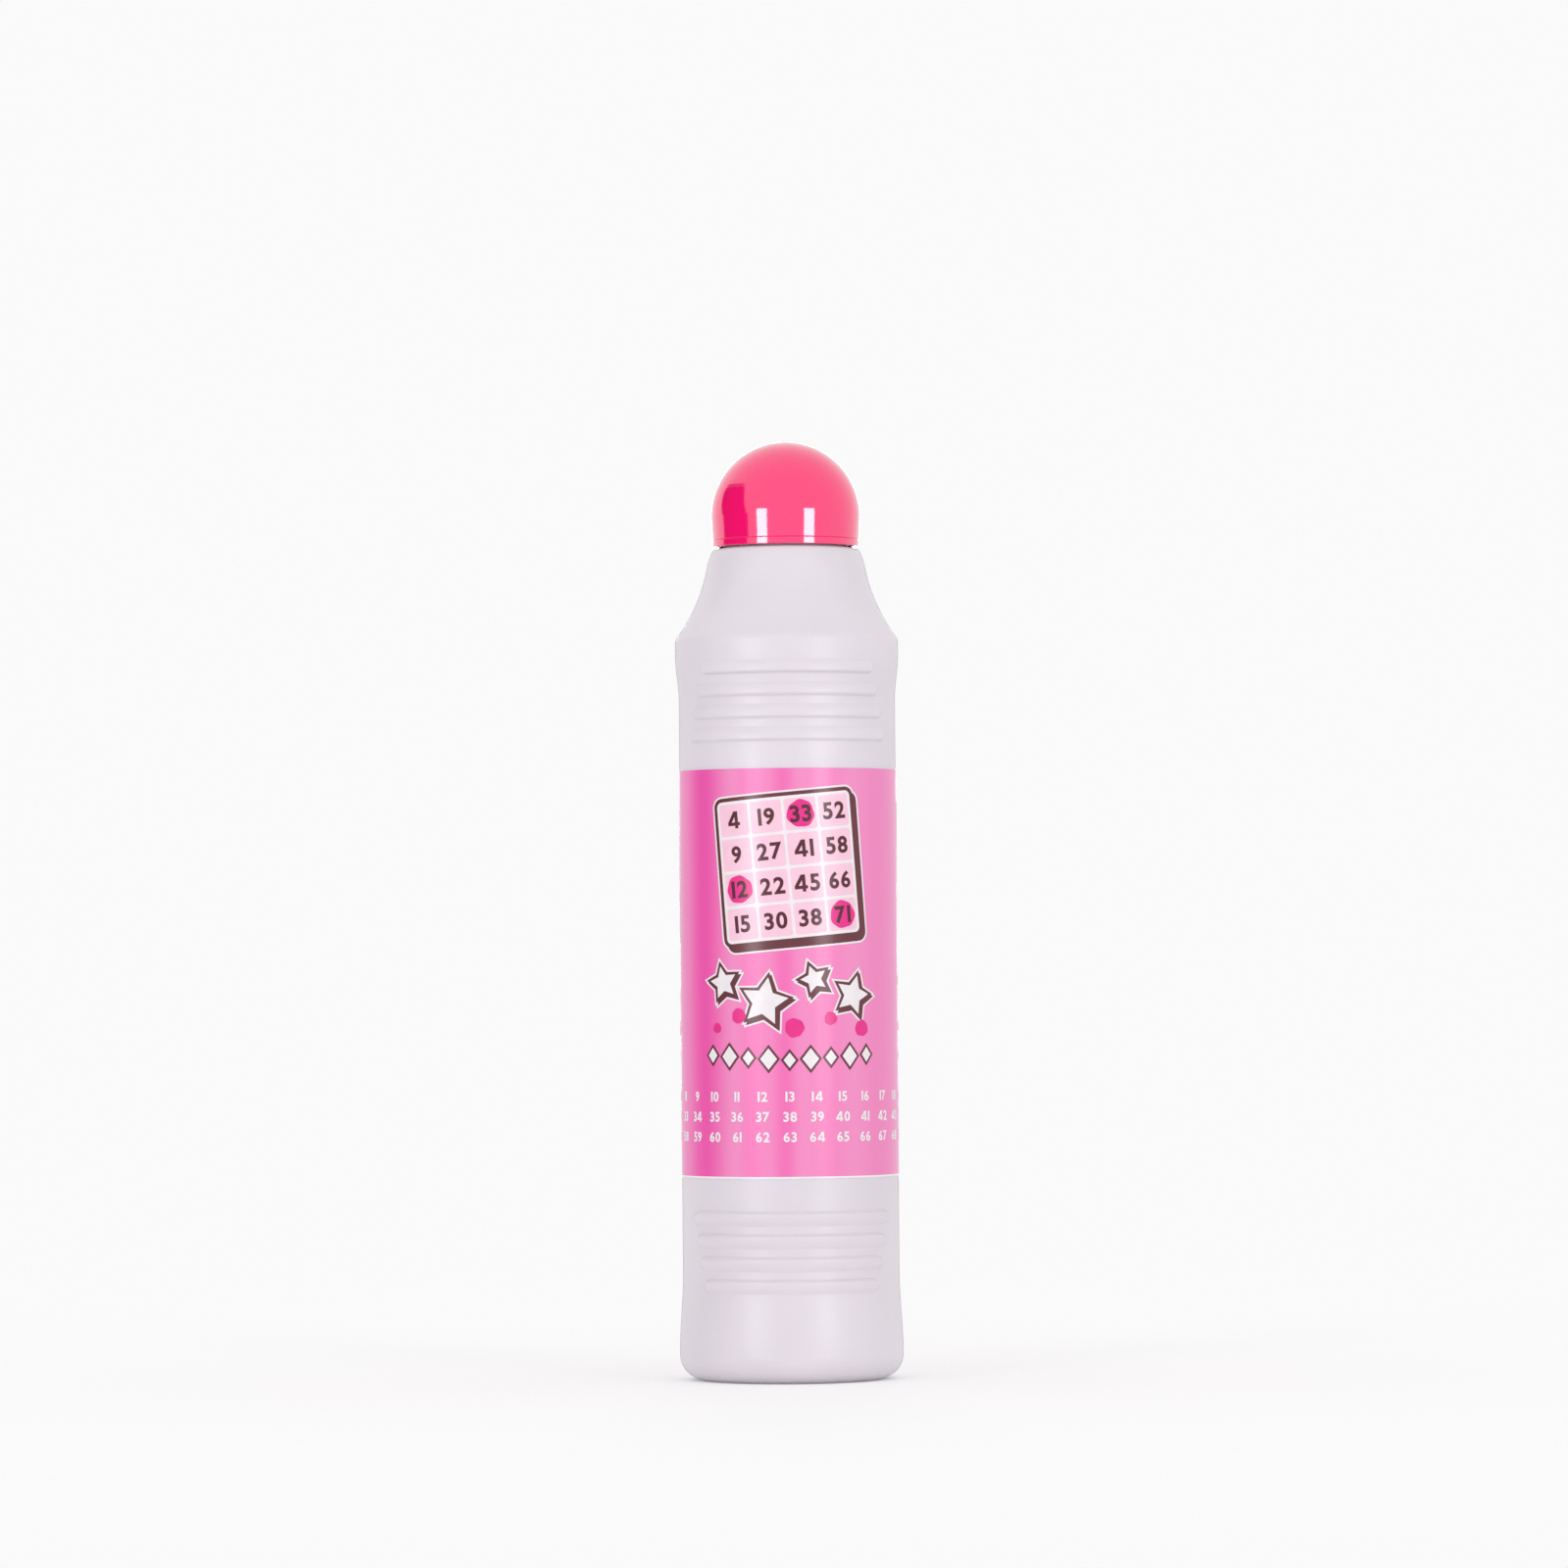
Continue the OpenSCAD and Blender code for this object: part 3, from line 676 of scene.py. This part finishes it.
def ticket(centre, numbers, dabbed, inks):
    """A bingo ticket: a white card with a dark edge and shadow, ruled cells and plain numbers."""
    at = (centre, LABEL_TOP_Z - TICKET_DROP)
    pitch = CELL + CELL_GAP
    rows, columns = len(numbers), len(numbers[0])
    card = rounded_box(columns * pitch + CELL_GAP, rows * pitch + CELL_GAP, TICKET_CORNER)
    outlined(inks, card, TICKET_RIM, at, TICKET_TURN, TICKET_CAST)
    for row in range(rows):
        for column in range(columns):
            offset = ((column - (columns - 1) / 2) * pitch, ((rows - 1) / 2 - row) * pitch)
            place = moved([offset], at, TICKET_TURN)[0]
            inks["rose"].shape(rounded_box(CELL, CELL, CELL_CORNER), place, TICKET_TURN)
            if (row, column) in dabbed:
                inks["dabs"].shape(dab(TICKET_DAB_R, row + 2 * column), place, TICKET_TURN)
            inks["numbers"].number(numbers[row][column], TICKET_NUMBER, place, TICKET_TURN)


def scatter(centre, spread, inks):
    """White stars and dabs of ink."""
    top = LABEL_TOP_Z - STARS_DROP
    for x, z, size, turn in STARS:
        place = (centre + spread * x * MM, top + z * MM)
        outlined(inks, star(spread * size * MM), STAR_RIM, place, turn, STAR_CAST)
    for x, z, size in DABS:
        inks["dabs"].shape(dab(size * MM, x), (centre + spread * x * MM, top + z * MM))


def garland(centre, reach, inks):
    """A row of white diamonds with dark edges."""
    for i in range(-reach, reach + 1):
        place = (centre + DIAMOND_PITCH * i, LABEL_TOP_Z - GARLAND_DROP + DIAMOND_RISE * abs(i))
        outline = diamond(DIAMOND_SIZES[i % 2])
        inks["edge"].shape(grown(outline, DIAMOND_RIM), place)
        inks["white"].shape(outline, place)


def number_rows(inks):
    """The numbers from 1 up in rows all round the label."""
    for i in range(ROWS * IN_ROW):
        row, column = divmod(i, IN_ROW)
        turn = 2 * math.pi * (column - (IN_ROW - 1) / 2) / IN_ROW
        place = (turn * LABEL_R, LABEL_TOP_Z - ROWS_DROP - ROW_PITCH * row)
        inks["white"].number(i + 1, ROW_NUMBER, place)


def label_print():
    """All the print: like designs on the front and on both sides of the label's ends at the back."""
    inks = {name: Print(level + 1) for level, name in enumerate(LAYERS)}
    for centre, spread, reach, numbers, dabbed in PLACES:
        ticket(centre, numbers, dabbed, inks)
        scatter(centre, spread, inks)
        garland(centre, reach, inks)
    number_rows(inks)
    maroon = ink("maroon_ink", tone(104, 50, 60))
    white = ink("white_ink", tone(238, 232, 236))
    finishes = {
        "halo_cast": white, "halo": white, "shadow": maroon, "edge": maroon, "white": white,
        "rose": ink("rose_ink", tone(248, 200, 220)), "dabs": ink("magenta_ink", tone(232, 44, 140)),
        "numbers": ink("number_ink", tone(84, 30, 44)),
    }
    for name in LAYERS:
        inks[name].wrap("print_" + name, finishes[name])


# The foam tip and its cover


def lathe(name, outline, steps, ripple, uv=None):
    """A closed form turned from an outline of (radius, height), with ripple(angle, index) on its radius."""
    form = bmesh.new()
    rings = []
    for j, (radius, z) in enumerate(outline):
        if radius < 0.001 * MM:
            rings.append([form.verts.new((0, 0, z))])
            continue
        ring = []
        for i in range(steps):
            angle = 2 * math.pi * i / steps
            reach = radius + ripple(angle, j)
            ring.append(form.verts.new((reach * math.cos(angle), reach * math.sin(angle), z)))
        rings.append(ring)
    for a, b in zip(rings, rings[1:]):
        for i in range(steps):
            k = (i + 1) % steps
            if len(a) == 1:
                form.faces.new((a[0], b[k], b[i]))
            elif len(b) == 1:
                form.faces.new((a[i], a[k], b[0]))
            else:
                form.faces.new((a[i], a[k], b[k], b[i]))
    bmesh.ops.recalc_face_normals(form, faces=form.faces[:])
    for face in form.faces:
        face.smooth = True
    if uv:
        layer = form.loops.layers.uv.new("threads")
        for face in form.faces:
            for loop in face.loops:
                loop[layer].uv = uv(loop.vert.co)
    return mesh_of(form, name)


def head_outline(head_r, top, side, waist_r, low, steps=26, bun_share=0.72):
    """Outline of the head from its crown down its side to its waist."""
    points = []
    for i in range(steps + 1):
        angle = math.pi / 2 * (1 - i / steps)
        radius = head_r * math.cos(angle) ** bun_share if i else 0
        points.append((radius, side + (top - side) * math.sin(angle) ** bun_share))
    for i in range(1, WAIST_STEPS + 1):
        share = (1 - math.cos(math.pi * i / WAIST_STEPS)) / 2
        points.append((head_r + (waist_r - head_r) * share, side + (low - side) * i / WAIST_STEPS))
    return points


def tip_cover():
    """The woven cover: a stretched crown, gathered where the ring clamps it."""
    skirt_r = RING_IN_R - 0.01 * MM
    head_r = COVER_HIGH.x - GATHER_DEPTH
    outer = head_outline(head_r, COVER_HIGH.z - 0.02 * MM, HEAD_SIDE_Z, skirt_r, RING_TOP_Z)
    skin = len(outer)
    outer += [(skirt_r, RING_TOP_Z + (COVER_LOW.z - RING_TOP_Z) * i / 4) for i in range(1, 5)]
    inner = []
    for j, (radius, z) in enumerate(outer):
        drop = COVER_T * (1 - j / skin) if j < skin else 0
        inner.append((max(radius - COVER_T, 0), z - drop))
    outline = outer + inner[::-1]

    def gathers(angle, j):
        row = j if j < len(outer) else len(outline) - 1 - j
        if row >= skin - 1:
            return 0
        rise = max(0.0, (row - skin * 0.45) / (skin * 0.55))
        return GATHER_DEPTH * rise * math.sin(GATHERS * angle + 0.9 * math.sin(5 * angle))

    def threads(co):
        reach = (math.hypot(co.x, co.y) + COVER_HIGH.z - co.z) * 2 * math.pi / THREAD_PITCH
        angle = math.atan2(co.y, co.x)
        return reach * math.cos(angle), reach * math.sin(angle)

    mesh = lathe("cover", outline, COVER_STEPS, gathers, threads)
    cover = piece("cover", mesh, cover_fabric(), "tip")
    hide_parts("tip_cover")


def foam_tip():
    """The foam pad in its cup, with the cells of its skin."""
    rim = RING_TOP_Z + 0.15 * MM
    low = FOAM_LOW.z + 0.02 * MM
    waist_r = RING_IN_R - COVER_T - 0.13 * MM
    cup_r = CUP_R - 0.05 * MM
    head_r = FOAM_HIGH.x - 0.05 * MM
    outline = head_outline(head_r, FOAM_HIGH.z - 0.03 * MM, HEAD_SIDE_Z, waist_r, rim)
    outline += [(cup_r, rim), (cup_r, (rim + low) / 2), (cup_r, low), (0, low)]

    def cells(angle, j):
        return 0.02 * MM * math.sin(23 * angle + 2.1 * j) * math.sin(1.7 * j + 5 * angle)

    pad = piece("pad", lathe("pad", outline, PAD_STEPS, cells), tip_foam(), "tip")
    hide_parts("foam_tip")


def spring():
    """The coil spring, on its own copy of the CAD node's mesh."""
    coil = piece("spring", NODES["valve_spring"].data.copy(), spring_steel(), "bottle")
    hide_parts("valve_spring")
    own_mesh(coil)


def studio():
    """A wide floor, the soft boxes and a pale sky."""
    form = bmesh.new()
    bmesh.ops.create_grid(form, x_segments=24, y_segments=24, size=FLOOR_REACH)
    floor = bpy.data.objects.new("floor", mesh_of(form, "floor"))
    bpy.context.scene.collection.objects.link(floor)
    floor.data.materials.append(studio_white())

    for degrees in BOX_ANGLES:
        light = bpy.data.lights.new("softbox", "AREA")
        light.shape = "RECTANGLE"
        light.size = BOX_WIDTH
        light.size_y = BOX_HEIGHT
        light.energy = BOX_POWER
        box = bpy.data.objects.new("softbox", light)
        bpy.context.scene.collection.objects.link(box)
        angle = math.radians(degrees)
        box.location = (BOX_DISTANCE * math.sin(angle), -BOX_DISTANCE * math.cos(angle), BOX_Z)
        aim = Vector((0, 0, BOX_AIM_Z)) - box.location
        box.rotation_euler = aim.to_track_quat("-Z", "Y").to_euler()

    world = bpy.data.worlds.new("studio")
    world.use_nodes = True
    bpy.context.scene.world = world
    n = Nodes(world.node_tree, "Background")
    n.set(Color=(1, 1, 1, 1))
    n.feed("Strength", n.mix(n.seen(), SKY_LIGHT, WHITE, data_type="FLOAT"))


def dark_card():
    """A dark card at the left, which only mirrors in gloss, as a photographer's black card does."""
    form = bmesh.new()
    grid = []
    for i in range(CARD_STEPS + 1):
        u = i / CARD_STEPS
        row = []
        for j in range(CARD_STEPS + 1):
            v = j / CARD_STEPS
            low = [(1 - u) * a + u * b for a, b in zip(CARD_LOW_RIGHT, CARD_LOW_LEFT)]
            high = [(1 - u) * a + u * b for a, b in zip(CARD_TOP_RIGHT, CARD_TOP_LEFT)]
            turn, rise = (math.radians((1 - v) * a + v * b) for a, b in zip(low, high))
            row.append(form.verts.new((CARD_DISTANCE * math.cos(rise) * math.sin(turn),
                                       -CARD_DISTANCE * math.cos(rise) * math.cos(turn),
                                       CARD_Z + CARD_DISTANCE * math.sin(rise))))
        grid.append(row)
    layer = form.loops.layers.uv.new("card")
    for i in range(CARD_STEPS):
        for j in range(CARD_STEPS):
            face = form.faces.new((grid[i][j], grid[i + 1][j], grid[i + 1][j + 1], grid[i][j + 1]))
            for loop, (u, v) in zip(face.loops, ((i, j), (i + 1, j), (i + 1, j + 1), (i, j + 1))):
                loop[layer].uv = (u / CARD_STEPS, v / CARD_STEPS)
    card = bpy.data.objects.new("dark_card", mesh_of(form, "dark_card"))
    bpy.context.scene.collection.objects.link(card)
    card.data.materials.append(card_black())
    card.visible_camera = card.visible_diffuse = card.visible_shadow = card.visible_transmission = False


def camera():
    """The photograph's view through a long lens."""
    data = bpy.data.cameras.new("camera")
    data.sensor_width = SENSOR_MM
    data.clip_start, data.clip_end = CLIP
    eye = bpy.data.objects.new("camera", data)
    bpy.context.scene.collection.objects.link(eye)
    middle = Vector(((IMAGE_PX / 2 - AXIS_COLUMN) * PIXEL, 0, EYE_Z + (LEVEL_ROW - IMAGE_PX / 2) * PIXEL))
    eye.location = (middle.x, -EYE_DISTANCE, EYE_Z)
    look = middle - eye.location
    data.lens = look.length * SENSOR_MM / (IMAGE_PX * PIXEL)
    eye.rotation_euler = look.to_track_quat("-Z", "Y").to_euler()
    eye.rotation_euler.rotate_axis("Z", -LEAN)
    bpy.context.scene.camera = eye


def finishes():
    """The finish of every CAD node that stays."""
    valve = natural_plastic("valve_plastic", (0.86, 0.86, 0.85), 0.38, 0.08 * MM)
    dress("bottle", bottle_plastic())
    dress("label", label_film())
    dress("cap", cap_plastic())
    dress("tip_housing", natural_plastic("housing_plastic", (0.82, 0.82, 0.8), 0.4, 0.1 * MM))
    dress("valve_stem", valve)
    dress("valve_poppet", valve)
    dress("valve_washer", washer_rubber())
    dress("tip_ring", natural_plastic("ring_plastic", (0.84, 0.83, 0.83), 0.35, 0.08 * MM))
    dress("cap_liner", liner_foam())


camera()
studio()
dark_card()
finishes()
label_print()
spring()
foam_tip()
tip_cover()

bpy.context.scene.view_settings.view_transform = "Standard"
